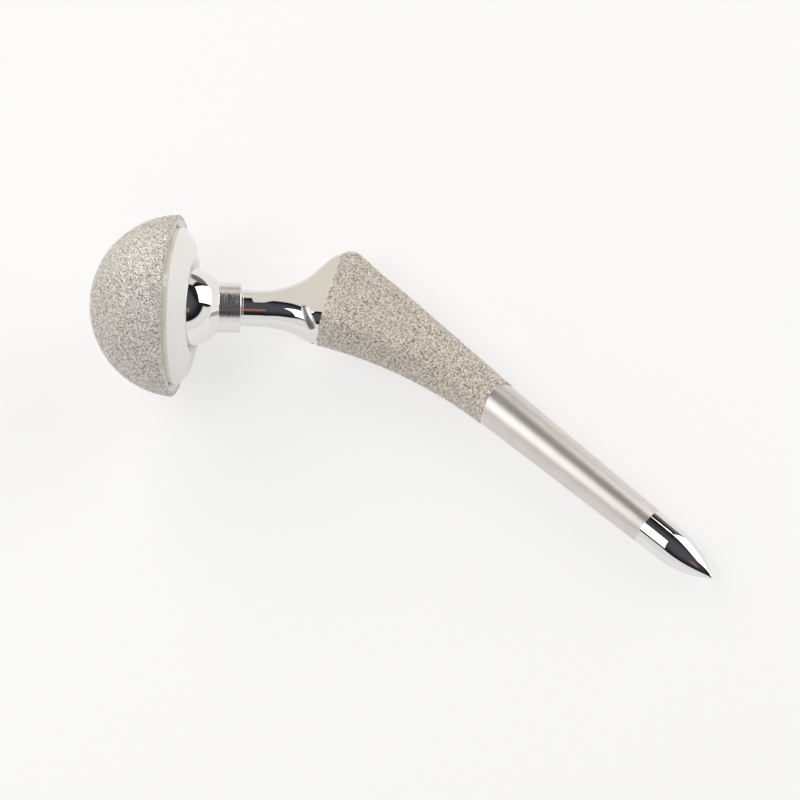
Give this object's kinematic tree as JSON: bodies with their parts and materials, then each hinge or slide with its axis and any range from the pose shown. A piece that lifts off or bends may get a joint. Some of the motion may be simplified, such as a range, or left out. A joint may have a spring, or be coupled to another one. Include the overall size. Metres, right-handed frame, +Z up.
{
  "type": "hip implant stem",
  "caption": "Hip prosthesis: porous coated femoral stem with a skirted ball head on its neck taper, turning in a plastic lined, porous coated cup.",
  "frame": {"origin": "middle of the bounding box at the table", "axes": "+Z up from the table, +X level from the ball head towards the tip of the stem, +Y to the lateral side of the stem"},
  "size_m": [0.2392, 0.0796, 0.0639],
  "materials": {
    "femoral_stem": "titanium alloy: polished neck and tip, porous coated body, satin shaft",
    "femoral_head": "cobalt chromium alloy, mirror polished, with a turned skirt",
    "acetabular_liner": "white bearing polyethylene, smooth",
    "acetabular_shell": "titanium alloy, porous coated outside, machined rim",
    "dome_plug": "titanium alloy, machined"
  },
  "bodies": {
    "stem": {"femoral_stem": "femoral_stem"},
    "head": {"femoral_head": "femoral_head"},
    "cup": {"acetabular_shell": "acetabular_shell", "acetabular_liner": "acetabular_liner", "dome_plug": "dome_plug"}
  },
  "joints": [
    {"name": "ball_turn", "type": "hinge", "parent": "stem", "child": "head", "pos_m": [-0.08546, -0.00674, 0.03129], "axis": [0.8442, 0.4406, -0.3052], "continuous": true},
    {"name": "ball_swing", "type": "hinge", "parent": "head", "child": "cup", "pos_m": [-0.08546, -0.00674, 0.03129], "axis": [0.284, -0.8506, -0.4426], "range_deg": [-56.3, 35.7]}
  ]
}
